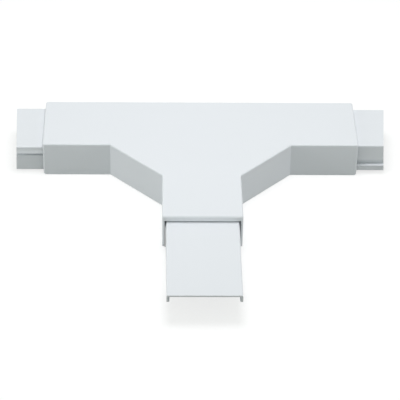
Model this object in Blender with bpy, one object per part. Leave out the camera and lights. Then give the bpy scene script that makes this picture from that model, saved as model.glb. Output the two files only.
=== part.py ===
"""Trunking tee for 40 x 16 mm mini trunking, with a cut length of trunking in each arm.

The tee lies on its back: the wall is the plane z = 0, the front faces +Z, the two side arms run
along X and the branch runs towards -Y. Units are metres.
"""

import math

import bmesh
import bpy
from mathutils import Vector

# Trunking section
LID_WIDTH = 0.0389          # across the lid's face
TRUNKING_DEPTH = 0.0162
LID_WALL = 0.0009
BASE_WALL = 0.0012
LIP_DEPTH = 0.0041          # from the lid's face to the end of its lips
LIP_FLARE = 0.0006          # how far each lip spreads outwards on its way to its end
LID_CORNER_RADIUS = 0.0008
BASE_CORNER_RADIUS = 0.0006
LID_FIT = 0.0003            # clearance between lid and base, all round
HOOK_REACH = 0.0006         # how far the lid's hooks stand in from its lips
HOOK_HEIGHT = 0.0009
HOOK_LEAD = 0.0003          # slope that leads a hook or a bead past the other
GROOVE_SHOWING = 0.0024     # groove left open below the lip
GROOVE_DEPTH = 0.0011
CLIP_THICKENING = 0.0007    # extra wall inside the base, behind the groove
LIP_EDGE = 0.0002           # small chamfer at the end of a lip

# Moulded cover
ARM_REACH = 0.088           # centre of the tee to the mouth of a side arm
BRANCH_REACH = 0.088        # centre of the tee to the mouth of the branch
GUSSET = 0.029              # each leg of the 45 degree gussets
SIDE_WALL = 0.00115
FRONT_WALL = 0.0023
COVER_FIT = 0.0003          # clearance between the lid's lips and the cover's side wall
DEPTH_ROOM = 0.0020         # depth inside the cover beyond the trunking's own
FRONT_EDGE_RADIUS = 0.0008
MOUTH_EDGE_RADIUS = 0.0007
MOUTH_RELIEF_LENGTH = 0.0012
MOUTH_RELIEF_DEPTH = 0.0027
MOUTH_BAR_HEIGHT = 0.0008   # bar inside the front at the branch's mouth
MOUTH_BAR_LENGTH = 0.003

# Catches inside the cover, which hold the lid by the ends of its lips
CATCH_BITE = 0.0013         # overlap of a catch and a lip
CATCH_FIT = 0.0003          # clearance between a catch and the end of a lip
CATCH_LENGTH = 0.005
CATCH_NOSE = 0.0005
CATCH_HEIGHT = 0.0024
CATCH_INSET = 0.008         # from a mouth, and from a gusset, to a catch's middle

# Lengths of trunking in the arms
INSERTION = 0.040           # how far each length reaches into its arm
LEFT_PROUD = 0.0173         # how far each length stands out of its mouth
RIGHT_PROUD = 0.0191
BRANCH_PROUD = 0.0615
BRANCH_BASE_SHORT = 0.024   # how much shorter the branch's base is cut than its lid
LEFT_SKEW = math.radians(-2.9)      # how far each cut is out of square across the length
RIGHT_SKEW = math.radians(-5.3)
LEFT_LEAN = math.radians(-2.1)      # and up it, below zero where the base's back is the longer
RIGHT_LEAN = math.radians(3.9)
LEFT_FRONT_GAP = 0.0010     # from the lid's face to the inside of the front
RIGHT_FRONT_GAP = 0.0003    # from the turned base's back to the inside of the front
BRANCH_FRONT_GAP = 0.0016   # from the lid's face to the inside of the front

# Steps in round edges, and how far a cutter runs past what it cuts
ARC_STEPS = 4
MOUTH_EDGE_STEPS = 3
CUTTER_OVERRUN = 0.004
EMBED = 0.0008              # how far the root of a catch or a bar runs into its wall
SMOOTH_ANGLE = math.radians(40)
SAME_PLACE = 0.00001        # two points nearer than this are at the same place

# Sizes that follow
BASE_WIDTH = LID_WIDTH - 2 * (LID_WALL + LID_FIT)
LIP_HALF_WIDTH = LID_WIDTH / 2 + LIP_FLARE
CAVITY_HALF_WIDTH = LIP_HALF_WIDTH + COVER_FIT
COVER_HALF_WIDTH = CAVITY_HALF_WIDTH + SIDE_WALL
CAVITY_DEPTH = TRUNKING_DEPTH + DEPTH_ROOM
COVER_DEPTH = CAVITY_DEPTH + FRONT_WALL
GUSSET_CORNER = COVER_HALF_WIDTH + GUSSET
CAVITY_GUSSET_CORNER = GUSSET_CORNER - SIDE_WALL * (math.sqrt(2) - 1)
DEEPEST_LID = CAVITY_DEPTH - max(LEFT_FRONT_GAP, BRANCH_FRONT_GAP)
CATCH_TOP = DEEPEST_LID - LIP_DEPTH - CATCH_FIT
CENTRE_X = (LEFT_PROUD - RIGHT_PROUD) / 2
CENTRE_Y = (BRANCH_REACH + BRANCH_PROUD - COVER_HALF_WIDTH) / 2

# Colours, linear, and how rough each plastic is
COVER_COLOUR = (0.80, 0.82, 0.84, 1.0)
LID_COLOUR = (0.78, 0.80, 0.82, 1.0)
BASE_COLOUR = (0.76, 0.79, 0.80, 1.0)
COVER_ROUGHNESS = 0.40
LID_ROUGHNESS = 0.38
BASE_ROUGHNESS = 0.42


def clear_scene():
    """Remove every object of the scene."""
    for item in list(bpy.data.objects):
        bpy.data.objects.remove(item, do_unlink=True)


def plastic(name, colour, roughness):
    """A plain moulded or extruded plastic."""
    material = bpy.data.materials.new(name)
    material.use_nodes = True
    shader = material.node_tree.nodes["Principled BSDF"]
    shader.inputs["Base Color"].default_value = colour
    shader.inputs["Roughness"].default_value = roughness
    shader.inputs["Metallic"].default_value = 0.0
    return material


def arc(centre, radii, start, stop):
    """Points of an elliptical arc between two angles in degrees, both ends included."""
    points = []
    for step in range(ARC_STEPS + 1):
        angle = math.radians(start + (stop - start) * step / ARC_STEPS)
        points.append((centre[0] + radii[0] * math.cos(angle), centre[1] + radii[1] * math.sin(angle)))
    return points


def mirrored_loop(half):
    """Close one half of an outline with its mirror image across the middle."""
    return half + [(-across, up) for across, up in reversed(half)]


def prism(mesh_edit, outline, start, stop, place):
    """Add a closed prism: outline points at two stations, each put in space by place(point, station)."""
    near = [mesh_edit.verts.new(place(point, start)) for point in outline]
    far = [mesh_edit.verts.new(place(point, stop)) for point in outline]
    mesh_edit.faces.new(near)
    mesh_edit.faces.new(far)
    for index, vertex in enumerate(near):
        following = (index + 1) % len(near)
        mesh_edit.faces.new((vertex, near[following], far[following], far[index]))


def finish_mesh(mesh_edit, name):
    """Turn the faces outwards and make an object of the mesh, smooth on its round edges."""
    bmesh.ops.recalc_face_normals(mesh_edit, faces=mesh_edit.faces)
    mesh = bpy.data.meshes.new(name)
    mesh_edit.to_mesh(mesh)
    mesh_edit.free()
    mesh.shade_smooth()
    mesh.set_sharp_from_angle(angle=SMOOTH_ANGLE)
    item = bpy.data.objects.new(name, mesh)
    bpy.context.scene.collection.objects.link(item)
    return item


def hide_helper(item):
    """Mark an object as one that only cuts or adds to another."""
    item.hide_render = True
    item.display_type = "WIRE"


def combine(target, helper, operation):
    """Cut the helper from the target, or join it to the target."""
    modifier = target.modifiers.new(helper.name, "BOOLEAN")
    modifier.operation = operation
    modifier.solver = "EXACT"
    modifier.object = helper
    hide_helper(helper)


def lid_outline():
    """Section of the lid: a flat face, two spreading lips, and a hook inside each lip's end."""
    side = LID_WIDTH / 2
    inner = side - LID_WALL
    lip_end = TRUNKING_DEPTH - LIP_DEPTH
    hook_top = lip_end + HOOK_HEIGHT
    corner = (side - LID_CORNER_RADIUS, TRUNKING_DEPTH - LID_CORNER_RADIUS)
    drop = corner[1] - lip_end - LIP_EDGE
    half = arc(corner, (LID_CORNER_RADIUS, LID_CORNER_RADIUS), 90, 0)
    for step in range(1, ARC_STEPS + 1):
        share = step / ARC_STEPS
        half.append((side + LIP_FLARE * share ** 2, corner[1] - drop * share))
    half += [
        (LIP_HALF_WIDTH - LIP_EDGE, lip_end),
        (inner - HOOK_REACH + HOOK_LEAD, lip_end),
        (inner - HOOK_REACH, lip_end + HOOK_LEAD),
        (inner - HOOK_REACH, hook_top - HOOK_LEAD),
        (inner, hook_top),
        (inner, TRUNKING_DEPTH - LID_WALL),
    ]
    return mirrored_loop(half)


def base_outline():
    """Section of the base: a back and two side walls, grooved outside for the lid's hooks."""
    side = BASE_WIDTH / 2
    top = TRUNKING_DEPTH - LID_WALL - LID_FIT
    lip_end = TRUNKING_DEPTH - LIP_DEPTH
    groove_bottom = lip_end - GROOVE_SHOWING
    groove_top = lip_end + HOOK_HEIGHT + LID_FIT
    inner = side - BASE_WALL
    clip_inner = inner - CLIP_THICKENING
    radius = (BASE_CORNER_RADIUS, BASE_CORNER_RADIUS)
    half = arc((side - BASE_CORNER_RADIUS, BASE_CORNER_RADIUS), radius, -90, 0)
    half += [
        (side, groove_bottom),
        (side - GROOVE_DEPTH, groove_bottom),
        (side - GROOVE_DEPTH, groove_top - HOOK_LEAD),
        (side, groove_top),
        (side, top - HOOK_LEAD),
        (side - HOOK_LEAD, top),
        (clip_inner, top),
        (clip_inner, groove_bottom),
        (inner, groove_bottom - CLIP_THICKENING),
    ]
    half += arc((inner - BASE_CORNER_RADIUS, BASE_WALL + BASE_CORNER_RADIUS), radius, 0, -90)
    return mirrored_loop(half)


def trunking_piece(name, outline, length, cut, outer_half, material):
    """One extruded piece along +X from its square inner end.

    Its outer end is cut at the two angles of the cut, its skew and its lean, and is no more than
    twice outer_half wide.
    """
    skew_slope, lean_slope = (math.tan(angle) for angle in cut)
    furthest = abs(skew_slope) * LIP_HALF_WIDTH + max(0.0, lean_slope) * TRUNKING_DEPTH

    def place(point, station):
        across, up = point
        if station == 0:
            return Vector((0.0, across, up))
        across = max(-outer_half, min(outer_half, across))
        return Vector((station + skew_slope * across + lean_slope * up - furthest, across, up))

    mesh_edit = bmesh.new()
    prism(mesh_edit, outline, 0.0, length, place)
    item = finish_mesh(mesh_edit, name)
    item.data.materials.append(material)
    return item


def tee_outline(half_width, gusset_corner, arm_reach, branch_reach):
    """Outline of a tee with gussets, anticlockwise from the upper right corner."""
    return [
        (arm_reach, half_width),
        (-arm_reach, half_width),
        (-arm_reach, -half_width),
        (-gusset_corner, -half_width),
        (-half_width, -gusset_corner),
        (-half_width, -branch_reach),
        (half_width, -branch_reach),
        (half_width, -gusset_corner),
        (gusset_corner, -half_width),
        (arm_reach, -half_width),
    ]


def upright(point, height):
    """Place an outline point of the tee at a height."""
    return Vector((point[0], point[1], height))


def in_mouth(edge):
    """True for an edge that lies in the plane of one of the three mouths."""
    first, second = (vertex.co for vertex in edge.verts)
    planes = (
        (first.x, second.x, ARM_REACH),
        (first.x, second.x, -ARM_REACH),
        (first.y, second.y, -BRANCH_REACH),
    )
    return any(max(abs(one - plane), abs(two - plane)) < SAME_PLACE for one, two, plane in planes)


def round_cover_edges(mesh_edit):
    """Round the front's long edges, then the rim of each mouth."""
    long_edges = [
        edge for edge in mesh_edit.edges
        if all(abs(vertex.co.z - COVER_DEPTH) < SAME_PLACE for vertex in edge.verts) and not in_mouth(edge)
    ]
    bmesh.ops.bevel(
        mesh_edit, geom=long_edges, offset=FRONT_EDGE_RADIUS, segments=ARC_STEPS,
        profile=0.5, affect="EDGES", clamp_overlap=True,
    )
    rims = [
        edge for edge in mesh_edit.edges
        if in_mouth(edge) and max(vertex.co.z for vertex in edge.verts) > SAME_PLACE
    ]
    bmesh.ops.bevel(
        mesh_edit, geom=rims, offset=MOUTH_EDGE_RADIUS, segments=MOUTH_EDGE_STEPS,
        profile=0.5, affect="EDGES", clamp_overlap=True,
    )


def make_cavity():
    """Cutter for the inside of the cover, which runs out through the back and the mouths."""
    mesh_edit = bmesh.new()
    outline = tee_outline(
        CAVITY_HALF_WIDTH, CAVITY_GUSSET_CORNER,
        ARM_REACH + CUTTER_OVERRUN, BRANCH_REACH + CUTTER_OVERRUN,
    )
    prism(mesh_edit, outline, -CUTTER_OVERRUN, CAVITY_DEPTH, upright)
    return finish_mesh(mesh_edit, "cavity_cutter")


def relief_outline(reach):
    """What is cut off the rear corner of a mouth, as points along the arm and up."""
    centre = (reach - MOUTH_RELIEF_LENGTH, MOUTH_RELIEF_DEPTH)
    curve = arc(centre, (MOUTH_RELIEF_LENGTH, MOUTH_RELIEF_DEPTH), -90, 0)
    outside = reach + CUTTER_OVERRUN
    return curve + [
        (outside, MOUTH_RELIEF_DEPTH),
        (outside, -CUTTER_OVERRUN),
        (reach - MOUTH_RELIEF_LENGTH, -CUTTER_OVERRUN),
    ]


def make_reliefs():
    """Cutter that rounds the rear corner of the walls at the three mouths."""
    half = COVER_HALF_WIDTH + CUTTER_OVERRUN
    mesh_edit = bmesh.new()
    for side in (-1, 1):
        prism(mesh_edit, relief_outline(ARM_REACH), -half, half,
              lambda point, station, side=side: Vector((side * point[0], station, point[1])))
    prism(mesh_edit, relief_outline(BRANCH_REACH), -half, half,
          lambda point, station: Vector((station, -point[0], point[1])))
    return finish_mesh(mesh_edit, "mouth_relief_cutter")


def catch_outline():
    """Section of a catch, as points across the arm and up: a flat top and a sloping underside."""
    root = CAVITY_HALF_WIDTH + EMBED
    tip = LIP_HALF_WIDTH - CATCH_BITE
    return [
        (root, CATCH_TOP),
        (tip, CATCH_TOP),
        (tip, CATCH_TOP - CATCH_NOSE),
        (CAVITY_HALF_WIDTH, CATCH_TOP - CATCH_HEIGHT),
        (root, CATCH_TOP - CATCH_HEIGHT),
    ]


def make_catches():
    """All the catches: on both walls of each arm, one near the mouth and one near the gusset."""
    mesh_edit = bmesh.new()
    arms = (
        (ARM_REACH, lambda along, across, up: Vector((-along, across, up))),
        (ARM_REACH, lambda along, across, up: Vector((along, across, up))),
        (BRANCH_REACH, lambda along, across, up: Vector((across, -along, up))),
    )
    for reach, arm in arms:
        for middle in (reach - CATCH_INSET, GUSSET_CORNER + CATCH_INSET):
            for side in (-1, 1):
                prism(mesh_edit, catch_outline(), middle - CATCH_LENGTH / 2, middle + CATCH_LENGTH / 2,
                      lambda point, station, arm=arm, side=side: arm(station, side * point[0], point[1]))
    return finish_mesh(mesh_edit, "catch_helper")


def make_mouth_bar():
    """The bar that thickens the front at the branch's mouth, from side wall to side wall."""
    half = CAVITY_HALF_WIDTH + EMBED
    low, high = CAVITY_DEPTH - MOUTH_BAR_HEIGHT, CAVITY_DEPTH + EMBED
    mesh_edit = bmesh.new()
    prism(mesh_edit, [(-half, low), (half, low), (half, high), (-half, high)],
          BRANCH_REACH - MOUTH_BAR_LENGTH, BRANCH_REACH,
          lambda point, station: Vector((point[0], -station, point[1])))
    return finish_mesh(mesh_edit, "mouth_bar_helper")


def make_cover(material):
    """The moulded cover, as one solid."""
    mesh_edit = bmesh.new()
    outline = tee_outline(COVER_HALF_WIDTH, GUSSET_CORNER, ARM_REACH, BRANCH_REACH)
    prism(mesh_edit, outline, 0.0, COVER_DEPTH, upright)
    bmesh.ops.recalc_face_normals(mesh_edit, faces=mesh_edit.faces)
    round_cover_edges(mesh_edit)
    cover = finish_mesh(mesh_edit, "tee_cover")
    cover.data.materials.append(material)
    cavity, catches, bar, reliefs = make_cavity(), make_catches(), make_mouth_bar(), make_reliefs()
    combine(cover, cavity, "DIFFERENCE")
    combine(cover, catches, "UNION")
    combine(cover, bar, "UNION")
    combine(cover, reliefs, "DIFFERENCE")
    return [cover, cavity, catches, bar, reliefs]


def make_length(name, proud, cut, base_short):
    """The base and the lid of one length, along +X from the inner end.

    The base spreads the lid's lips, so a lid that stands beyond its base ends with straight lips.
    """
    length = INSERTION + proud
    lid_end_half = LID_WIDTH / 2 if base_short else LIP_HALF_WIDTH
    base = trunking_piece(name + "_trunking_base", base_outline(), length - base_short, cut, BASE_WIDTH / 2,
                          plastic(name + "_base_plastic", BASE_COLOUR, BASE_ROUGHNESS))
    lid = trunking_piece(name + "_trunking_lid", lid_outline(), length, cut, lid_end_half,
                         plastic(name + "_lid_plastic", LID_COLOUR, LID_ROUGHNESS))
    return [base, lid]


def put(items, parent, location, rotation):
    """Set a group of pieces in its place in the tee."""
    for item in items:
        item.parent = parent
        item.location = location
        item.rotation_euler = rotation


def main():
    """Build the cover and the three lengths around the centre of the tee."""
    clear_scene()
    centre = bpy.data.objects.new("tee_centre", None)
    centre.location = (CENTRE_X, CENTRE_Y, 0.0)
    bpy.context.scene.collection.objects.link(centre)

    cover = make_cover(plastic("cover_plastic", COVER_COLOUR, COVER_ROUGHNESS))
    put(cover, centre, (0.0, 0.0, 0.0), (0.0, 0.0, 0.0))

    inner_end = ARM_REACH - INSERTION
    left = make_length("left", LEFT_PROUD, (LEFT_SKEW, LEFT_LEAN), 0.0)
    put(left, centre, (-inner_end, 0.0, DEPTH_ROOM - LEFT_FRONT_GAP), (0.0, 0.0, math.pi))
    right = make_length("right", RIGHT_PROUD, (RIGHT_SKEW, RIGHT_LEAN), 0.0)
    put(right, centre, (inner_end, 0.0, CAVITY_DEPTH - RIGHT_FRONT_GAP), (math.pi, 0.0, 0.0))
    branch = make_length("branch", BRANCH_PROUD, (0.0, 0.0), BRANCH_BASE_SHORT)
    branch_back = DEPTH_ROOM - BRANCH_FRONT_GAP
    put(branch, centre, (0.0, INSERTION - BRANCH_REACH, branch_back), (0.0, 0.0, -math.pi / 2))
    bpy.context.view_layer.update()


main()
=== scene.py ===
import logging
import math
from dataclasses import dataclass, field
from enum import Enum
from typing import Callable, Iterable, Sequence, Union

import bmesh
import bpy
from mathutils import Matrix, Vector


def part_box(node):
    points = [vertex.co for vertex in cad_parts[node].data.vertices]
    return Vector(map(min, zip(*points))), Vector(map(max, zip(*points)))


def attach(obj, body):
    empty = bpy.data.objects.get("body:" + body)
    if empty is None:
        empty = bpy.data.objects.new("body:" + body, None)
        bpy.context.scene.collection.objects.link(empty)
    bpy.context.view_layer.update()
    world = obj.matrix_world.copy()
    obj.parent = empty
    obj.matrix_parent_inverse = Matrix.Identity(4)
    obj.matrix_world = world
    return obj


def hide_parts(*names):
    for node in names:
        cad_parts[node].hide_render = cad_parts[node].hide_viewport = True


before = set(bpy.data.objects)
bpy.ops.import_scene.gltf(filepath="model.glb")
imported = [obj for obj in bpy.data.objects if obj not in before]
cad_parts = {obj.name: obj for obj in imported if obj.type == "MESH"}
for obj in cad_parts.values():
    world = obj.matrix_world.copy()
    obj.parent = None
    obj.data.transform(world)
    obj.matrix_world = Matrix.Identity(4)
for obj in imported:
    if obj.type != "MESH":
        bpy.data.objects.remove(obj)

LOG = logging.getLogger("trunking_tee")

Point = tuple[float, float]
Colour = tuple[float, float, float]
Placing = Callable[[Point, float], Vector]

BODY = "root"

# Points nearer than these count as in one plane, and as one point
SAME_PLACE = 0.00001
TOUCHING = 0.000001

# Angles up to which an edge is shaded smooth, and from which it is rounded
SMOOTH_BELOW = math.radians(28)
ROUNDED_ABOVE = math.radians(40)
FACE_WEIGHT = 100

# Share of a pattern's fineness that is left along an extruded length
DRAWN_OUT = 0.012

# A face whose normal has more than this along the length is an end
END_FACING = 0.9

PLASTIC_IOR = 1.5
PLASTIC_LIGHT = (0.83, 0.86, 0.89)
PLASTIC_SHADE = (0.80, 0.83, 0.86)
SAWN_LIGHT = (0.84, 0.86, 0.87)
SAWN_SHADE = (0.74, 0.76, 0.77)

# How far the sawn ends are out of square, in degrees across the length and up it
LEFT_CUT = (-2.9, -2.1)
RIGHT_CUT = (-5.3, 3.9)
SQUARE_CUT = (0.0, 0.0)


class Signal:
    """A node's output socket, which Python's operators combine through Math nodes."""

    def __init__(self, tree: "Tree", socket: bpy.types.NodeSocket) -> None:
        """Wrap a socket.

        Args:
            tree: The builder whose tree holds the socket.
            socket: The output socket.
        """
        self.tree = tree
        self.socket = socket

    def output(self, name: str) -> "Signal":
        """Another output of the same node, by its name."""
        return Signal(self.tree, self.socket.node.outputs[name])

    def _math(self, operation: str, *terms: object) -> "Signal":
        """Add a Math node on these terms, in order."""
        return self.tree.node("ShaderNodeMath", {"operation": operation}, dict(enumerate(terms)))

    def __add__(self, other: object) -> "Signal":
        """Sum."""
        return self._math("ADD", self, other)

    def __radd__(self, other: object) -> "Signal":
        """Sum with a plain number first."""
        return self._math("ADD", other, self)

    def __sub__(self, other: object) -> "Signal":
        """Difference."""
        return self._math("SUBTRACT", self, other)

    def __rsub__(self, other: object) -> "Signal":
        """Difference from a plain number."""
        return self._math("SUBTRACT", other, self)

    def __mul__(self, other: object) -> "Signal":
        """Product."""
        return self._math("MULTIPLY", self, other)

    def __rmul__(self, other: object) -> "Signal":
        """Product with a plain number first."""
        return self._math("MULTIPLY", other, self)

    def __truediv__(self, other: object) -> "Signal":
        """Quotient."""
        return self._math("DIVIDE", self, other)

    def __rtruediv__(self, other: object) -> "Signal":
        """Quotient of a plain number by this."""
        return self._math("DIVIDE", other, self)

    def __gt__(self, other: object) -> "Signal":
        """1 where this is the larger, 0 elsewhere."""
        return self._math("GREATER_THAN", self, other)

    def __abs__(self) -> "Signal":
        """Size without its sign."""
        return self._math("ABSOLUTE", self)

    def larger(self, other: object) -> "Signal":
        """The larger of this and another."""
        return self._math("MAXIMUM", self, other)

    def wave(self) -> "Signal":
        """Sine, in radians."""
        return self._math("SINE", self)

    def swing(self, spread: float) -> "Signal":
        """A noise from 0 to 1, moved to either side of 0 and spread this far."""
        return (self - 0.5) * spread


class Tree:
    """Builds one node tree."""

    def __init__(self, tree: bpy.types.NodeTree) -> None:
        """Start on an emptied tree.

        Args:
            tree: The node tree to fill. Its nodes are removed first.
        """
        self.tree = tree
        tree.nodes.clear()

    def node(
        self, kind: str, settings: dict[str, object], sockets: dict[Union[int, str], object],
    ) -> Signal:
        """Add a node.

        Args:
            kind: The node's type name.
            settings: Properties of the node, set before its sockets.
            sockets: For each input, by name or place, a Signal to link or a value to set.

        Returns:
            The node's first output, or a wrapper of its first input where it has none.
        """
        node = self.tree.nodes.new(kind)
        for name, value in settings.items():
            setattr(node, name, value)
        for key, value in sockets.items():
            if isinstance(value, Signal):
                self.tree.links.new(value.socket, node.inputs[key])
            else:
                node.inputs[key].default_value = value
        return Signal(self, (node.outputs or node.inputs)[0])


class MaterialTree(Tree):
    """The tree of a new material."""

    def __init__(self, name: str) -> None:
        """Make the material.

        Args:
            name: Its name.
        """
        self.material = bpy.data.materials.new(name)
        self.material.use_nodes = True
        super().__init__(self.material.node_tree)

    def place(self) -> Signal:
        """Where a point of the piece lies."""
        return self.node("ShaderNodeTexCoord", {}, {}).output("Object")

    def noise(self, place: Signal, scale: float, detail: float) -> Signal:
        """A noise from 0 to 1 of this scale and detail."""
        return self.node("ShaderNodeTexNoise", {}, {"Vector": place, "Scale": scale, "Detail": detail})

    def blend(self, share: Signal, light: Colour, shade: Colour) -> Signal:
        """A colour between two, by the share of the second."""
        return self.node(
            "ShaderNodeMix", {"data_type": "RGBA"},
            {"Factor": share, 6: (*light, 1.0), 7: (*shade, 1.0)},
        ).output("Result")

    def bump(self, height: Signal, distance: float, strength: float) -> Signal:
        """The normal of a surface with this height in it."""
        return self.node(
            "ShaderNodeBump", {}, {"Height": height, "Distance": distance, "Strength": strength})

    def plastic(self, colour: Signal, roughness: Signal, normal: Signal) -> bpy.types.Material:
        """End the material in a plastic's shader.

        Args:
            colour: Its colour.
            roughness: Its roughness.
            normal: Its normal.

        Returns:
            The material.
        """
        shader = self.node(
            "ShaderNodeBsdfPrincipled", {},
            {"Base Color": colour, "Roughness": roughness, "Normal": normal,
             "IOR": PLASTIC_IOR, "Metallic": 0.0},
        )
        self.node("ShaderNodeOutputMaterial", {}, {"Surface": shader})
        return self.material


class GeometryTree(Tree):
    """A Geometry Nodes tree with one geometry input and named size inputs."""

    def __init__(self, name: str) -> None:
        """Make the tree with its geometry sockets.

        Args:
            name: Name of the node group.
        """
        group = bpy.data.node_groups.new(name, "GeometryNodeTree")
        super().__init__(group)
        group.interface.new_socket("Geometry", in_out="INPUT", socket_type="NodeSocketGeometry")
        group.interface.new_socket("Geometry", in_out="OUTPUT", socket_type="NodeSocketGeometry")
        self.given = self.node("NodeGroupInput", {}, {})
        self.keys: dict[str, str] = {}

    def ask(self, name: str, kind: str = "NodeSocketFloat") -> Signal:
        """Add a named input and return it.

        Args:
            name: The input's name.
            kind: Its socket type.

        Returns:
            The signal that carries the input's value.
        """
        socket = self.tree.interface.new_socket(name, in_out="INPUT", socket_type=kind)
        self.keys[name] = socket.identifier
        return self.given.output(name)

    def vector(self, x: object, y: object, z: object) -> Signal:
        """A vector of three signals or numbers."""
        return self.node("ShaderNodeCombineXYZ", {}, {"X": x, "Y": y, "Z": z})

    def parts_of(self, kind: str) -> Signal:
        """The parts along X, Y and Z of a vector that this type of node gives."""
        return self.node("ShaderNodeSeparateXYZ", {}, {"Vector": self.node(kind, {}, {})})

    def row(self, count: object, start: Signal, step: Signal) -> Signal:
        """Set copies of the given mesh in a row.

        Args:
            count: How many.
            start: Place of the first.
            step: The way from each to the next.

        Returns:
            The copies.
        """
        line = self.node(
            "GeometryNodeMeshLine", {"mode": "OFFSET"},
            {"Count": count, "Start Location": start, "Offset": step},
        )
        return self.node(
            "GeometryNodeInstanceOnPoints", {},
            {"Points": line, "Instance": self.given.output("Geometry")},
        )

    def join(self, parts: Iterable[Signal]) -> Signal:
        """Join some geometries.

        Args:
            parts: The geometries.

        Returns:
            All of them as one.
        """
        joined = self.node("GeometryNodeJoinGeometry", {}, {})
        for part in parts:
            self.tree.links.new(part.socket, joined.socket.node.inputs["Geometry"])
        return joined

    def finish(self, geometry: Signal, *coats: dict[Union[int, str], object]) -> None:
        """Realize the instances, set the materials and end the tree.

        Args:
            geometry: What the tree has made.
            coats: Sockets of one Set Material node each, in order.
        """
        made = self.node("GeometryNodeRealizeInstances", {}, {"Geometry": geometry})
        for coat in coats:
            made = self.node("GeometryNodeSetMaterial", {}, {"Geometry": made, **coat})
        self.node("NodeGroupOutput", {}, {"Geometry": made})

    def run(self, name: str, start: bpy.types.Mesh, **values: object) -> bpy.types.Mesh:
        """Run the tree on a mesh.

        Args:
            name: Name of the mesh that comes out.
            start: The mesh that the tree is given.
            values: A value for each named input, with spaces in its name as underscores.

        Returns:
            The finished mesh, with no modifier left.
        """
        host = add_object(name, start)
        modifier = host.modifiers.new(name, "NODES")
        modifier.node_group = self.tree
        for key, value in values.items():
            modifier[self.keys[key.replace("_", " ")]] = value
        return settle(host)


def add_object(name: str, data: bpy.types.ID) -> bpy.types.Object:
    """Add an object to the scene.

    Args:
        name: Its name.
        data: Its mesh, lamp or camera.

    Returns:
        The object, at the origin.
    """
    item = bpy.data.objects.new(name, data)
    bpy.context.scene.collection.objects.link(item)
    return item


def settle(host: bpy.types.Object) -> bpy.types.Mesh:
    """Turn an object with modifiers into a plain mesh, and remove the object.

    Args:
        host: The object to evaluate.

    Returns:
        Its evaluated mesh, under the object's name.
    """
    bpy.context.view_layer.update()
    graph = bpy.context.evaluated_depsgraph_get()
    mesh = bpy.data.meshes.new_from_object(host.evaluated_get(graph), depsgraph=graph)
    mesh.name = host.name
    bpy.data.objects.remove(host, do_unlink=True)
    return mesh


def mesh_of(edit: bmesh.types.BMesh, name: str) -> bpy.types.Mesh:
    """Turn a mesh edit into a mesh with its faces outwards.

    Args:
        edit: The mesh edit, which is freed.
        name: Name of the mesh.

    Returns:
        The mesh.
    """
    bmesh.ops.recalc_face_normals(edit, faces=edit.faces)
    mesh = bpy.data.meshes.new(name)
    edit.to_mesh(mesh)
    edit.free()
    return mesh


def one_face(corners: Iterable[Sequence[float]], towards: Vector, name: str) -> bpy.types.Mesh:
    """Make a mesh of one flat face.

    Args:
        corners: Its corners.
        towards: The side that it faces.
        name: Name of the mesh.

    Returns:
        The mesh.
    """
    edit = bmesh.new()
    face = edit.faces.new([edit.verts.new(corner) for corner in corners])
    face.normal_update()
    if face.normal.dot(towards) < 0:
        face.normal_flip()
    mesh = bpy.data.meshes.new(name)
    edit.to_mesh(mesh)
    edit.free()
    return mesh


def weld(mesh: bpy.types.Mesh, distance: float) -> bpy.types.Mesh:
    """Merge the points of a mesh that lie at the same place, and drop an empty material slot.

    Args:
        mesh: The mesh.
        distance: How near to each other such points are.

    Returns:
        The same mesh.
    """
    edit = bmesh.new()
    edit.from_mesh(mesh)
    bmesh.ops.remove_doubles(edit, verts=edit.verts, dist=distance)
    edit.to_mesh(mesh)
    edit.free()
    if mesh.materials and mesh.materials[0] is None:
        mesh.materials.pop(index=0)
    return mesh


def soften(mesh: bpy.types.Mesh, width: float, steps: int) -> bpy.types.Mesh:
    """Round the sharp edges of a mesh a little.

    Args:
        mesh: The mesh.
        width: Width of the rounding.
        steps: Number of faces across it.

    Returns:
        The rounded mesh.
    """
    host = add_object(mesh.name + "_soft", mesh)
    bevel = host.modifiers.new("soft_edges", "BEVEL")
    bevel.width = width
    bevel.segments = steps
    bevel.limit_method = "ANGLE"
    bevel.angle_limit = ROUNDED_ABOVE
    return settle(host)


def show(mesh: bpy.types.Mesh, name: str, node: str) -> bpy.types.Object:
    """Put a finished mesh in the scene in place of a solid of the frame.

    Args:
        mesh: The mesh, with its place in its vertices.
        name: Name of the piece.
        node: The frame's node that it stands for.

    Returns:
        The piece.
    """
    weld(mesh, TOUCHING)
    mesh.shade_smooth()
    mesh.set_sharp_from_angle(angle=SMOOTH_BELOW)
    host = add_object(name + "_mesh", mesh)
    weighted = host.modifiers.new("even_shading", "WEIGHTED_NORMAL")
    weighted.weight = FACE_WEIGHT
    weighted.keep_sharp = True
    mesh = settle(host)
    piece = add_object(name, mesh)
    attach(piece, BODY)
    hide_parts(node)
    LOG.info("%s: %d faces", name, len(mesh.polygons))
    return piece


def arc(centre: Point, radius: Point, start: float, stop: float, steps: int) -> list[Point]:
    """Points on an elliptical arc.

    Args:
        centre: Its centre.
        radius: Its two radii.
        start: First angle, in degrees.
        stop: Last angle, in degrees.
        steps: Number of steps between them.

    Returns:
        The points, both ends included.
    """
    angles = [math.radians(start + (stop - start) * step / steps) for step in range(steps + 1)]
    return [(centre[0] + radius[0] * math.cos(a), centre[1] + radius[1] * math.sin(a)) for a in angles]


def mirrored(half: Sequence[Point]) -> list[Point]:
    """Close half an outline with its mirror image across the middle."""
    return list(half) + [(-across, up) for across, up in reversed(half)]


def at_height(point: Point, height: float) -> Vector:
    """A point of an outline that lies flat, at a height."""
    return Vector((*point, height))


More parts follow.
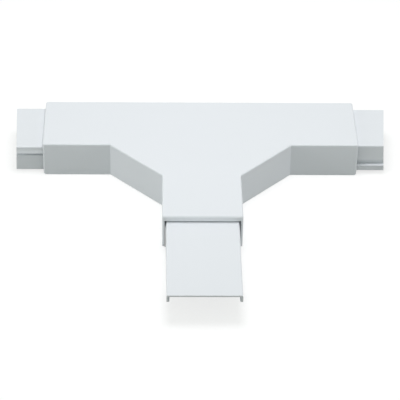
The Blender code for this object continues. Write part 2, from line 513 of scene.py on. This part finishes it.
def prism(
    edit: bmesh.types.BMesh, outline: Sequence[Point], start: float, stop: float, place: Placing,
) -> None:
    """Add a closed prism to a mesh edit.

    Args:
        edit: The mesh edit.
        outline: Points of its section.
        start: Station of its first end.
        stop: Station of its other end.
        place: Puts an outline point at a station in space.
    """
    near = [edit.verts.new(place(point, start)) for point in outline]
    far = [edit.verts.new(place(point, stop)) for point in outline]
    edit.faces.new(near)
    edit.faces.new(far)
    for index, vertex in enumerate(near):
        following = (index + 1) % len(near)
        edit.faces.new((vertex, near[following], far[following], far[index]))


def edges_above(edit: bmesh.types.BMesh, height: float) -> list[bmesh.types.BMEdge]:
    """The edges of a mesh edit that lie wholly at a height or above it."""
    return [e for e in edit.edges if min(v.co.z for v in e.verts) > height - SAME_PLACE]


def round_edges(
    edit: bmesh.types.BMesh, edges: Iterable[bmesh.types.BMEdge], radius: float, steps: int,
) -> None:
    """Round some edges of a mesh edit.

    Args:
        edit: The mesh edit.
        edges: The edges.
        radius: Radius of the rounding.
        steps: Number of faces across it.
    """
    bmesh.ops.bevel(
        edit, geom=list(edges), offset=radius, segments=steps,
        profile=0.5, affect="EDGES", clamp_overlap=True,
    )


class Run(Enum):
    """The way that an extruded length runs, as the fineness of its pattern along X, Y and Z."""

    ALONG_X = (DRAWN_OUT, 1.0, 1.0)
    ALONG_Y = (1.0, DRAWN_OUT, 1.0)


@dataclass(frozen=True)
class MouldedFinish:
    """Satin white plastic from a mould with a fine spark-eroded grain."""

    name: str
    light: Colour
    shade: Colour
    cloud_scale: float = 24.0
    cloud_share: float = 0.8
    grain_scale: float = 2600.0
    pit_scale: float = 1560.0
    flow_pitch: float = 0.011
    flow_wander: float = 9.0
    roughness: float = 0.42
    cloud_roughness: float = 0.08
    grain_roughness: float = 0.10
    flow_roughness: float = 0.012
    relief: float = 0.000012
    relief_strength: float = 0.9
    grain_relief: float = 0.7
    pit_relief: float = 0.5
    flow_relief: float = 0.05

    def make(self, gate: Vector) -> bpy.types.Material:
        """Make the material.

        Args:
            gate: Where the plastic entered the mould; faint flow rings lie round it.

        Returns:
            The material.
        """
        tree = MaterialTree(self.name)
        place = tree.place()
        cloud = tree.noise(place, self.cloud_scale, 3.0)
        grain = tree.noise(place, self.grain_scale, 2.0)
        pits = tree.node("ShaderNodeTexVoronoi", {}, {"Vector": place, "Scale": self.pit_scale})
        from_gate = tree.node(
            "ShaderNodeVectorMath", {"operation": "DISTANCE"}, {0: place, 1: tuple(gate)},
        ).output("Value")
        rings = (from_gate * (2 * math.pi / self.flow_pitch) + cloud * self.flow_wander).wave()
        share = cloud * self.cloud_share + grain * (1 - self.cloud_share)
        rough = self.roughness + cloud.swing(self.cloud_roughness) + grain.swing(self.grain_roughness)
        height = grain * self.grain_relief + pits * self.pit_relief + rings * self.flow_relief
        return tree.plastic(
            tree.blend(share, self.light, self.shade),
            rough + rings * self.flow_roughness,
            tree.bump(height, self.relief, self.relief_strength),
        )


@dataclass(frozen=True)
class ExtrudedFinish:
    """Smooth white plastic from a die, with faint lines along the length."""

    name: str
    light: Colour
    shade: Colour
    run: Run
    cloud_scale: float = 30.0
    cloud_share: float = 0.6
    line_scale: float = 1500.0
    broad_lines: float = 9.0
    roughness: float = 0.34
    line_roughness: float = 0.12
    cloud_roughness: float = 0.06
    relief: float = 0.000006
    relief_strength: float = 0.8
    fine_relief: float = 0.5

    def make(self) -> bpy.types.Material:
        """Make the material, with its lines along the run.

        Returns:
            The material.
        """
        tree = MaterialTree(self.name)
        place = tree.place()
        drawn = tree.node("ShaderNodeMapping", {}, {"Vector": place, "Scale": self.run.value})
        lines = tree.noise(drawn, self.line_scale, 3.0)
        broad = tree.noise(drawn, self.line_scale / self.broad_lines, 2.0)
        cloud = tree.noise(place, self.cloud_scale, 3.0)
        share = cloud * self.cloud_share + broad * (1 - self.cloud_share)
        return tree.plastic(
            tree.blend(share, self.light, self.shade),
            self.roughness + lines.swing(self.line_roughness) + cloud.swing(self.cloud_roughness),
            tree.bump(lines * self.fine_relief + broad, self.relief, self.relief_strength),
        )


@dataclass(frozen=True)
class SawnFinish:
    """The matt end that a fine saw leaves, with its tooth marks across the wall."""

    name: str
    light: Colour
    shade: Colour
    tooth_scale: float = 2400.0
    tooth_share: float = 0.7
    tooth_length: float = 0.1
    slant: float = 24.0
    roughness: float = 0.62
    fuzz_roughness: float = 0.2
    relief: float = 0.00004
    relief_strength: float = 0.8
    fuzz_relief: float = 0.4

    def make(self) -> bpy.types.Material:
        """Make the material, with its marks slanting up through the wall.

        Returns:
            The material.
        """
        tree = MaterialTree(self.name)
        place = tree.place()
        slant = math.radians(self.slant)
        slanted = tree.node(
            "ShaderNodeMapping", {},
            {"Vector": place, "Rotation": (slant, slant, 0.0),
             "Scale": (self.tooth_length, self.tooth_length, 1.0)},
        )
        teeth = tree.noise(slanted, self.tooth_scale, 2.0)
        fuzz = tree.noise(place, self.tooth_scale, 3.0)
        share = teeth * self.tooth_share + fuzz * (1 - self.tooth_share)
        return tree.plastic(
            tree.blend(share, self.light, self.shade),
            self.roughness + fuzz.swing(self.fuzz_roughness),
            tree.bump(teeth + fuzz * self.fuzz_relief, self.relief, self.relief_strength),
        )


@dataclass
class TrunkingSection:
    """Section of the mini trunking: a base channel, and a lid that clips over its walls."""

    lid_width: float = 0.0389
    depth: float = 0.0162
    lid_wall: float = 0.0009
    base_wall: float = 0.0012
    lip_depth: float = 0.0041
    lip_flare: float = 0.0006
    lip_edge: float = 0.0002
    lid_corner: float = 0.0008
    base_corner: float = 0.0006
    fit: float = 0.0003
    hook_reach: float = 0.0006
    hook_height: float = 0.0009
    lead: float = 0.0003
    groove_showing: float = 0.0024
    groove_depth: float = 0.0011
    clip_thickening: float = 0.0007
    steps: int = 10

    @property
    def lip_side(self) -> float:
        """Half the width across the ends of the lid's lips."""
        return self.lid_width / 2 + self.lip_flare

    @property
    def lip_end(self) -> float:
        """Height of the ends of the lid's lips above the base's back."""
        return self.depth - self.lip_depth

    def lid(self) -> list[Point]:
        """Draw the lid's outline.

        Returns:
            Its points, across the length and up from the base's back.
        """
        side = self.lid_width / 2
        inner = side - self.lid_wall
        hook = inner - self.hook_reach
        hook_top = self.lip_end + self.hook_height
        corner = (side - self.lid_corner, self.depth - self.lid_corner)
        rim = (self.lip_side - self.lip_edge, self.lip_end + self.lip_edge)
        half = arc(corner, (self.lid_corner, self.lid_corner), 90, 0, self.steps)
        half += [
            (side + self.lip_flare * share ** 2, corner[1] + (rim[1] - corner[1]) * share)
            for share in (step / self.steps for step in range(1, self.steps))
        ]
        half += arc(rim, (self.lip_edge, self.lip_edge), 0, -90, self.steps // 3)
        half += [
            (hook + self.lead, self.lip_end),
            (hook, self.lip_end + self.lead),
            (hook, hook_top - self.lead),
            (inner, hook_top),
            (inner, self.depth - self.lid_wall - self.lip_edge),
            (inner - self.lip_edge, self.depth - self.lid_wall),
        ]
        return mirrored(half)

    def base(self) -> list[Point]:
        """Draw the base's outline.

        Returns:
            Its points, across the length and up from its back.
        """
        side = self.lid_width / 2 - self.lid_wall - self.fit
        top = self.depth - self.lid_wall - self.fit
        groove_bottom = self.lip_end - self.groove_showing
        groove_top = self.lip_end + self.hook_height + self.fit
        inner = side - self.base_wall
        clip = inner - self.clip_thickening
        radius = (self.base_corner, self.base_corner)
        half = arc((side - self.base_corner, self.base_corner), radius, -90, 0, self.steps)
        half += [
            (side, groove_bottom),
            (side - self.groove_depth, groove_bottom),
            (side - self.groove_depth, groove_top - self.lead),
            (side, groove_top),
            (side, top - self.lead),
            (side - self.lead, top),
            (clip, top),
            (clip, groove_bottom),
            (inner, groove_bottom - self.clip_thickening),
        ]
        half += arc((inner - self.base_corner, self.base_wall + self.base_corner), radius, 0, -90, self.steps)
        return mirrored(half)


class Extrusion(GeometryTree):
    """Pulls a flat section into a length, narrows and saws its far end, and coats its sides and ends."""

    def __init__(self) -> None:
        """Build the tree."""
        super().__init__("extruded_length")
        length = self.ask("Length")
        skew_slope = self.ask("Skew Slope")
        lean_slope = self.ask("Lean Slope")
        furthest = self.ask("Furthest")
        end_half = self.ask("End Half Width")
        side_coat = self.ask("Side Coat", "NodeSocketMaterial")
        end_coat = self.ask("End Coat", "NodeSocketMaterial")
        section = self.given.output("Geometry")
        pulled = self.node(
            "GeometryNodeExtrudeMesh", {"mode": "FACES"},
            {"Mesh": section, "Offset": self.vector(length, 0.0, 0.0), "Offset Scale": 1.0,
             "Individual": False},
        )
        start = self.node("GeometryNodeFlipFaces", {}, {"Mesh": section})
        joined = self.join((pulled, start))
        closed = self.node("GeometryNodeMergeByDistance", {}, {"Geometry": joined, "Distance": TOUCHING})
        spot = self.parts_of("GeometryNodeInputPosition")
        at_far_end = spot.output("X") > length / 2
        saw = (skew_slope * spot.output("Y") + lean_slope * spot.output("Z") - furthest) * at_far_end
        narrowing = end_half / abs(spot.output("Y")).larger(end_half) - 1.0
        pinch = spot.output("Y") * narrowing * at_far_end
        sawn = self.node(
            "GeometryNodeSetPosition", {}, {"Geometry": closed, "Offset": self.vector(saw, pinch, 0.0)})
        is_end = abs(self.parts_of("GeometryNodeInputNormal").output("X")) > END_FACING
        self.finish(sawn, {"Material": side_coat}, {"Material": end_coat, "Selection": is_end})


class Turn(Enum):
    """How a length lies in its arm: the way it runs, and which of its faces is to the front."""

    LEFT = "left"
    RIGHT_TURNED_OVER = "right"
    BRANCH = "branch"


@dataclass
class TrunkingLength:
    """One cut length of trunking in an arm of the tee, a base and a lid."""

    turn: Turn
    section: TrunkingSection
    cut: Point
    extrusion: Extrusion
    lid_coat: bpy.types.Material
    base_coat: bpy.types.Material
    end_coat: bpy.types.Material
    edge_softness: float = 0.00006
    edge_steps: int = 2

    def node(self, part: str) -> str:
        """Name of the frame's node for a part of this length."""
        return f"{self.turn.value}_trunking_{part}"

    def placing(self, part: str) -> tuple[Matrix, float]:
        """Work out from the frame where a part lies.

        Args:
            part: Either base or lid.

        Returns:
            The matrix from the length's own axes to the frame, and the part's length.
        """
        low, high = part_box(self.node(part))
        middle = (low + high) / 2
        back = high.z - self.section.depth if part == "lid" else low.z
        if self.turn is Turn.BRANCH:
            matrix = Matrix.Translation((middle.x, high.y, back)) @ Matrix.Rotation(-math.pi / 2, 4, "Z")
            return matrix, high.y - low.y
        if self.turn is Turn.LEFT:
            matrix = Matrix.Translation((high.x, middle.y, back)) @ Matrix.Rotation(math.pi, 4, "Z")
            return matrix, high.x - low.x
        back = low.z + self.section.depth if part == "lid" else high.z
        matrix = Matrix.Translation((low.x, middle.y, back)) @ Matrix.Rotation(math.pi, 4, "X")
        return matrix, high.x - low.x

    def build(self, part: str) -> bpy.types.Object:
        """Build and dress one part of the length.

        Args:
            part: Either base or lid.

        Returns:
            The piece.
        """
        node = self.node(part)
        outline = self.section.lid() if part == "lid" else self.section.base()
        section = one_face(((0.0, *point) for point in outline), Vector((1.0, 0.0, 0.0)), node + "_section")
        matrix, length = self.placing(part)
        skew_slope, lean_slope = (math.tan(math.radians(angle)) for angle in self.cut)
        pulled = self.extrusion.run(
            node + "_pulled", section,
            Length=length, Skew_Slope=skew_slope, Lean_Slope=lean_slope,
            Furthest=max(skew_slope * across + lean_slope * up for across, up in outline),
            End_Half_Width=self.section.lid_width / 2 if self.turn is Turn.BRANCH else self.section.lip_side,
            Side_Coat=self.lid_coat if part == "lid" else self.base_coat, End_Coat=self.end_coat,
        )
        softened = soften(pulled, self.edge_softness, self.edge_steps)
        softened.transform(matrix)
        return show(softened, node + "_visual", node)


class CatchRows(GeometryTree):
    """Sets copies of one catch along both walls of each arm."""

    def __init__(self) -> None:
        """Build the tree. The catch it is given lies at the wall plane, pointing towards -Y."""
        super().__init__("catch_rows")
        near = self.ask("Near")
        pitch = self.ask("Pitch")
        wall = self.ask("Wall")
        rows = []
        for side, last_turn in ((1, -90.0), (-1, 90.0)):
            row = self.row(2, self.vector(near * side, wall, 0.0), self.vector(pitch * side, 0.0, 0.0))
            rows += [
                self.node(
                    "GeometryNodeTransform", {},
                    {"Geometry": row, "Rotation": (0.0, 0.0, math.radians(turn))},
                )
                for turn in (0.0, 180.0, last_turn)
            ]
        # The cover gets its finish once its parts are joined
        self.finish(self.join(rows), {"Material": None})


class EjectorMarks(GeometryTree):
    """Sets copies of one shallow disc along the straight run and down the branch."""

    def __init__(self) -> None:
        """Build the tree."""
        super().__init__("ejector_marks")
        pitch = self.ask("Pitch")
        run_count = self.ask("Run Count", "NodeSocketInt")
        branch_count = self.ask("Branch Count", "NodeSocketInt")
        along_run = self.row(
            run_count, self.vector((run_count - 1) * pitch * -0.5, 0.0, 0.0), self.vector(pitch, 0.0, 0.0))
        down_branch = self.row(
            branch_count, self.vector(0.0, pitch * -1.0, 0.0), self.vector(0.0, pitch * -1.0, 0.0))
        # The cover gets its finish once its parts are joined
        self.finish(self.join((along_run, down_branch)), {"Material": None})


@dataclass
class TeeCover:
    """The moulded cover: a tee with gussets, open at the back and at its three mouths."""

    finish: MouldedFinish
    section: TrunkingSection
    side_wall: float = 0.00115
    front_wall: float = 0.0023
    fit: float = 0.0003
    gusset: float = 0.029
    front_edge: float = 0.0008
    inner_edge: float = 0.0005
    mouth_edge: float = 0.0010
    mouth_profile: float = 0.35
    relief: Point = (0.0012, 0.0027)
    mouth_bar: Point = (0.003, 0.0008)
    catch_bite: float = 0.0013
    catch_fit: float = 0.0003
    catch_length: float = 0.005
    catch_nose: float = 0.0005
    catch_height: float = 0.0024
    catch_inset: float = 0.008
    embed: float = 0.0008
    deepest_lid_gap: float = 0.0016
    mark_radius: float = 0.0022
    mark_depth: float = 0.00012
    mark_pitch: float = 0.020
    mark_sides: int = 40
    marks_along_run: int = 7
    marks_down_branch: int = 3
    overrun: float = 0.004
    edge_steps: int = 8
    low: Vector = field(default_factory=lambda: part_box("tee_cover")[0])
    high: Vector = field(default_factory=lambda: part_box("tee_cover")[1])

    @property
    def cavity_half(self) -> float:
        """Half the width inside the arms."""
        return self.section.lip_side + self.fit

    @property
    def half(self) -> float:
        """Half the width outside the arms."""
        return self.cavity_half + self.side_wall

    @property
    def reach(self) -> float:
        """Distance from the centre to each mouth."""
        return (self.high.x - self.low.x) / 2

    @property
    def depth(self) -> float:
        """Depth from the wall plane to the front."""
        return self.high.z - self.low.z

    @property
    def ceiling(self) -> float:
        """Height of the front's inside above the wall plane."""
        return self.depth - self.front_wall

    @property
    def centre(self) -> Vector:
        """Where the middle lines of the arms cross, on the wall plane."""
        return Vector(((self.low.x + self.high.x) / 2, self.high.y - self.half, self.low.z))

    def outline(self, half: float, corner: float, reach: float) -> list[Point]:
        """Outline of the tee.

        Args:
            half: Half the width of an arm.
            corner: Distance from the centre to the start of a gusset.
            reach: Distance from the centre to a mouth.

        Returns:
            Its points, anticlockwise from the upper right corner.
        """
        left = [(-reach, half), (-reach, -half), (-corner, -half), (-half, -corner), (-half, -reach)]
        return [(reach, half)] + left + [(-x, y) for x, y in reversed(left[1:])]

    def in_mouth(self, edge: bmesh.types.BMEdge) -> bool:
        """Find out whether an edge lies in the plane of one of the mouths.

        Args:
            edge: The edge.

        Returns:
            True where it does.
        """
        first, second = (vertex.co for vertex in edge.verts)
        return any(
            max(abs(first[axis] - plane), abs(second[axis] - plane)) < SAME_PLACE
            for axis, plane in ((0, self.reach), (0, -self.reach), (1, -self.reach))
        )

    def shell(self) -> bpy.types.Mesh:
        """Make the outside of the cover as a solid, with its front edges and its mouths rounded.

        Returns:
            Its mesh.
        """
        edit = bmesh.new()
        prism(edit, self.outline(self.half, self.half + self.gusset, self.reach), 0.0, self.depth, at_height)
        bmesh.ops.recalc_face_normals(edit, faces=edit.faces)
        front = [edge for edge in edges_above(edit, self.depth) if not self.in_mouth(edge)]
        round_edges(edit, front, self.front_edge, self.edge_steps)
        weight = edit.edges.layers.float.new("bevel_weight_edge")
        for edge in edit.edges:
            if self.in_mouth(edge) and max(vertex.co.z for vertex in edge.verts) > SAME_PLACE:
                edge[weight] = 1.0
        host = add_object("cover_shell", mesh_of(edit, "cover_shell"))
        bevel = host.modifiers.new("mouth_edges", "BEVEL")
        bevel.limit_method = "WEIGHT"
        bevel.width = self.mouth_edge
        bevel.profile = self.mouth_profile
        bevel.segments = self.edge_steps // 2
        return weld(settle(host), SAME_PLACE)

    def cavity(self) -> bpy.types.Mesh:
        """Make what is hollowed out of the cover, with a small fillet under the front.

        Returns:
            Its mesh.
        """
        corner = self.half + self.gusset - self.side_wall * (math.sqrt(2) - 1)
        outline = self.outline(self.cavity_half, corner, self.reach + self.overrun)
        edit = bmesh.new()
        prism(edit, outline, -self.overrun, self.ceiling, at_height)
        bmesh.ops.recalc_face_normals(edit, faces=edit.faces)
        round_edges(edit, edges_above(edit, self.ceiling), self.inner_edge, self.edge_steps // 2)
        bmesh.ops.triangulate(edit, faces=edit.faces)
        return mesh_of(edit, "cover_cavity")

    def reliefs(self) -> bpy.types.Mesh:
        """Make what rounds the rear corners of the walls at the mouths.

        Returns:
            Its mesh.
        """
        length, height = self.relief
        curve = arc((self.reach - length, height), self.relief, -90, 0, self.edge_steps)
        outside = self.reach + self.overrun
        outline = curve + [(outside, height), (outside, -self.overrun), (self.reach - length, -self.overrun)]
        span = self.half + self.overrun
        edit = bmesh.new()
        for turn in (0.0, 180.0, -90.0):
            rotation = Matrix.Rotation(math.radians(turn), 3, "Z")
            prism(edit, outline, -span, span,
                  lambda point, station, rotation=rotation: rotation @ Vector((point[0], station, point[1])))
        return mesh_of(edit, "cover_reliefs")

    def catches(self) -> bpy.types.Mesh:
        """Make the catches that hold the lids, from one catch repeated along the walls.

        Returns:
            Their mesh.
        """
        top = self.ceiling - self.deepest_lid_gap - self.section.lip_depth - self.catch_fit
        tip = -(self.fit + self.catch_bite)
        slope = (self.catch_height - self.catch_nose) / -tip
        root = top - self.catch_height - slope * self.embed
        outline = [(self.embed, top), (tip, top), (tip, top - self.catch_nose), (self.embed, root)]
        edit = bmesh.new()
        prism(edit, outline, -self.catch_length / 2, self.catch_length / 2,
              lambda point, station: Vector((station, *point)))
        near = self.half + self.gusset + self.catch_inset
        return CatchRows().run(
            "cover_catches", mesh_of(edit, "one_catch"),
            Near=near, Pitch=self.reach - self.catch_inset - near, Wall=self.cavity_half,
        )

    def bar(self) -> bpy.types.Mesh:
        """Make the bar that thickens the front at the branch's mouth, from side wall to side wall.

        Returns:
            Its mesh.
        """
        length, height = self.mouth_bar
        half = self.cavity_half + self.embed
        low = self.ceiling - height
        high = self.ceiling + self.embed
        edit = bmesh.new()
        prism(edit, [(-half, low), (half, low), (half, high), (-half, high)], self.reach - length, self.reach,
              lambda point, station: Vector((point[0], -station, point[1])))
        return mesh_of(edit, "cover_mouth_bar")

    def marks(self) -> bpy.types.Mesh:
        """Make the shallow round marks that the mould's ejector pins leave inside the front.

        Returns:
            Their mesh.
        """
        edit = bmesh.new()
        bmesh.ops.create_cone(
            edit, cap_ends=True, segments=self.mark_sides, radius1=self.mark_radius,
            radius2=self.mark_radius, depth=2 * self.mark_depth,
            matrix=Matrix.Translation((0.0, 0.0, self.ceiling)),
        )
        return EjectorMarks().run(
            "cover_marks", mesh_of(edit, "one_mark"), Pitch=self.mark_pitch,
            Run_Count=self.marks_along_run, Branch_Count=self.marks_down_branch,
        )

    def build(self) -> bpy.types.Object:
        """Build and dress the cover.

        Returns:
            The piece.
        """
        host = add_object("cover_body", self.shell())
        steps = (
            (self.cavity(), "DIFFERENCE"), (self.catches(), "UNION"), (self.bar(), "UNION"),
            (self.reliefs(), "DIFFERENCE"), (self.marks(), "DIFFERENCE"),
        )
        helpers = []
        for mesh, operation in steps:
            helper = add_object(mesh.name, mesh)
            modifier = host.modifiers.new(mesh.name, "BOOLEAN")
            modifier.operation = operation
            modifier.solver = "EXACT"
            modifier.object = helper
            helpers.append(helper)
        mesh = settle(host)
        for helper in helpers:
            bpy.data.objects.remove(helper, do_unlink=True)
        mesh.materials.clear()
        mesh.materials.append(self.finish.make(self.centre + Vector((0.0, 0.0, self.depth))))
        mesh.transform(Matrix.Translation(self.centre))
        return show(mesh, "tee_cover_visual", "tee_cover")


@dataclass(frozen=True)
class SoftBox:
    """A large soft lamp, whose place and aim are measured from the tee's centre."""

    name: str
    place: Vector
    aim: Vector
    size: float
    power: float
    colour: Colour

    def make(self, centre: Vector) -> None:
        """Make the lamp.

        Args:
            centre: The tee's centre.
        """
        lamp = bpy.data.lights.new(self.name, "AREA")
        lamp.shape = "DISK"
        lamp.size = self.size
        lamp.energy = self.power
        lamp.color = self.colour
        item = add_object(self.name, lamp)
        item.location = centre + self.place
        item.rotation_euler = (self.aim - self.place).to_track_quat("-Z", "Y").to_euler()


@dataclass
class Studio:
    """The pale floor, the soft light and the camera at the photograph's angle."""

    centre: Vector
    front: float
    covered: list[Point]
    # Painted shade: how brightly the floor under the cover glows for the camera, less than the rest of the
    # floor
    painted_shade_lift: float = 0.3
    sky: Colour = (0.409, 0.442, 0.409)
    floor_colour: Colour = (0.36, 0.365, 0.36)
    floor_lift: float = 0.71
    floor_half: float = 2.0
    lens: float = 177.28
    sensor: float = 36.0
    azimuth: float = -1.6195
    elevation: float = 36.4068
    roll: float = 1.1267
    distance: float = 1.05506
    nearest_seen: float = 0.05
    aim: Point = (-0.001326, -0.07329)
    lamps: tuple[SoftBox, ...] = (
        SoftBox(
            name="overhead_lamp", place=Vector((0.0, -0.015, 0.5)), aim=Vector(),
            size=0.24, power=1.15, colour=(1.01, 0.97, 1.03),
        ),
        SoftBox(
            name="left_lamp", place=Vector((-0.945, -0.293, 0.208)), aim=Vector((0.0, -0.04, 0.0)),
            size=0.6, power=2.82, colour=(1.0, 0.99, 1.01),
        ),
        SoftBox(
            name="right_lamp", place=Vector((0.945, -0.293, 0.208)), aim=Vector((0.0, -0.04, 0.0)),
            size=0.6, power=1.87, colour=(1.0, 0.97, 1.03),
        ),
    )

    @staticmethod
    def seen(tree: Tree) -> Signal:
        """1 for rays from the camera, a reflection or through glass, and 0 for light."""
        path = tree.node("ShaderNodeLightPath", {}, {})
        return path.output("Is Camera Ray").larger(path.output("Is Glossy Ray")).larger(
            path.output("Is Transmission Ray"))

    def make_world(self) -> None:
        """Light the object evenly from all round, and show white to the camera and in reflections."""
        world = bpy.data.worlds.new("studio_world")
        bpy.context.scene.world = world
        world.use_nodes = True
        tree = Tree(world.node_tree)
        sky = tree.node("ShaderNodeBackground", {}, {"Color": (*self.sky, 1.0), "Strength": 1.0})
        white = tree.node("ShaderNodeBackground", {}, {"Color": (1.0, 1.0, 1.0, 1.0), "Strength": 1.0})
        seen = tree.node("ShaderNodeMixShader", {}, {"Fac": self.seen(tree), 1: sky, 2: white})
        tree.node("ShaderNodeOutputWorld", {}, {"Surface": seen})

    def lay(self, mesh: bpy.types.Mesh, lift: float, drop: float) -> None:
        """Lay a stretch of floor.

        Args:
            mesh: Its mesh, whose name it takes.
            lift: How brightly it shows to the camera besides the light that it gets.
            drop: How far it lies below the wall plane.
        """
        tree = MaterialTree(mesh.name + "_white")
        matt = tree.node("ShaderNodeBsdfDiffuse", {}, {"Color": (*self.floor_colour, 1.0)})
        glow = tree.node("ShaderNodeEmission", {}, {"Strength": self.seen(tree) * lift})
        both = tree.node("ShaderNodeAddShader", {}, {0: matt, 1: glow})
        tree.node("ShaderNodeOutputMaterial", {}, {"Surface": both})
        mesh.materials.append(tree.material)
        floor = add_object(mesh.name, mesh)
        floor.location = (0.0, 0.0, -drop)

    def make_floor(self) -> None:
        """A plain floor that shows white and keeps the object's shadow."""
        edit = bmesh.new()
        bmesh.ops.create_grid(edit, x_segments=2, y_segments=2, size=self.floor_half)
        self.lay(mesh_of(edit, "studio_floor"), self.floor_lift, 2 * SAME_PLACE)

    def make_painted_shade_floor(self) -> None:
        """The floor that the cover hides, with painted shade: it glows less for the camera than the rest of
        the floor, so it shows dark through the cover's gaps.
        """
        mesh = one_face(((*point, 0.0) for point in self.covered), Vector((0.0, 0.0, 1.0)), "covered_floor")
        mesh.transform(Matrix.Translation(self.centre))
        self.lay(mesh, self.painted_shade_lift, SAME_PLACE)

    def make_camera(self) -> None:
        """A long lens at the photograph's angle."""
        azimuth, elevation, roll = (math.radians(x) for x in (self.azimuth, self.elevation, self.roll))
        level = Vector((math.cos(azimuth), math.sin(azimuth), 0.0))
        back = Vector((
            math.sin(azimuth) * math.cos(elevation), -math.cos(azimuth) * math.cos(elevation),
            math.sin(elevation),
        ))
        upright = back.cross(level)
        right = level * math.cos(roll) + upright * math.sin(roll)
        up = upright * math.cos(roll) - level * math.sin(roll)
        target = self.centre + Vector((*self.aim, self.front))
        camera = bpy.data.cameras.new("photo_camera")
        camera.lens = self.lens
        camera.sensor_width = self.sensor
        camera.clip_start = self.nearest_seen
        matrix = Matrix((right, up, back)).transposed().to_4x4()
        matrix.translation = target + back * self.distance
        item = add_object("photo_camera", camera)
        item.matrix_world = matrix
        bpy.context.scene.camera = item

    def make(self) -> None:
        """Make the floor, the light and the camera."""
        self.make_world()
        self.make_floor()
        self.make_painted_shade_floor()
        for lamp in self.lamps:
            lamp.make(self.centre)
        self.make_camera()
        bpy.context.scene.view_settings.view_transform = "Standard"


def main() -> None:
    """Build and dress every piece of the tee, then its studio."""
    logging.basicConfig(level=logging.INFO, format="%(name)s %(message)s")
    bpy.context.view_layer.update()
    section = TrunkingSection()
    cover = TeeCover(MouldedFinish("cover_plastic_white", PLASTIC_LIGHT, PLASTIC_SHADE), section)
    cover.build()
    extrusion = Extrusion()
    end_coat = SawnFinish("sawn_plastic_end", SAWN_LIGHT, SAWN_SHADE).make()
    coats = {
        (part, run): ExtrudedFinish(
            f"{part}_plastic_{run.name.lower()}", PLASTIC_LIGHT, PLASTIC_SHADE, run,
        ).make()
        for part in ("lid", "base") for run in Run
    }
    for turn, cut, run in (
        (Turn.LEFT, LEFT_CUT, Run.ALONG_X),
        (Turn.RIGHT_TURNED_OVER, RIGHT_CUT, Run.ALONG_X),
        (Turn.BRANCH, SQUARE_CUT, Run.ALONG_Y),
    ):
        length = TrunkingLength(
            turn, section, cut, extrusion, coats["lid", run], coats["base", run], end_coat)
        for part in ("base", "lid"):
            length.build(part)
    # Outline of the floor under the cover, which gets painted shade
    covered = cover.outline(cover.cavity_half, cover.half + cover.gusset, cover.reach)
    Studio(cover.centre, cover.depth, covered).make()


if __name__ == "__main__":
    main()
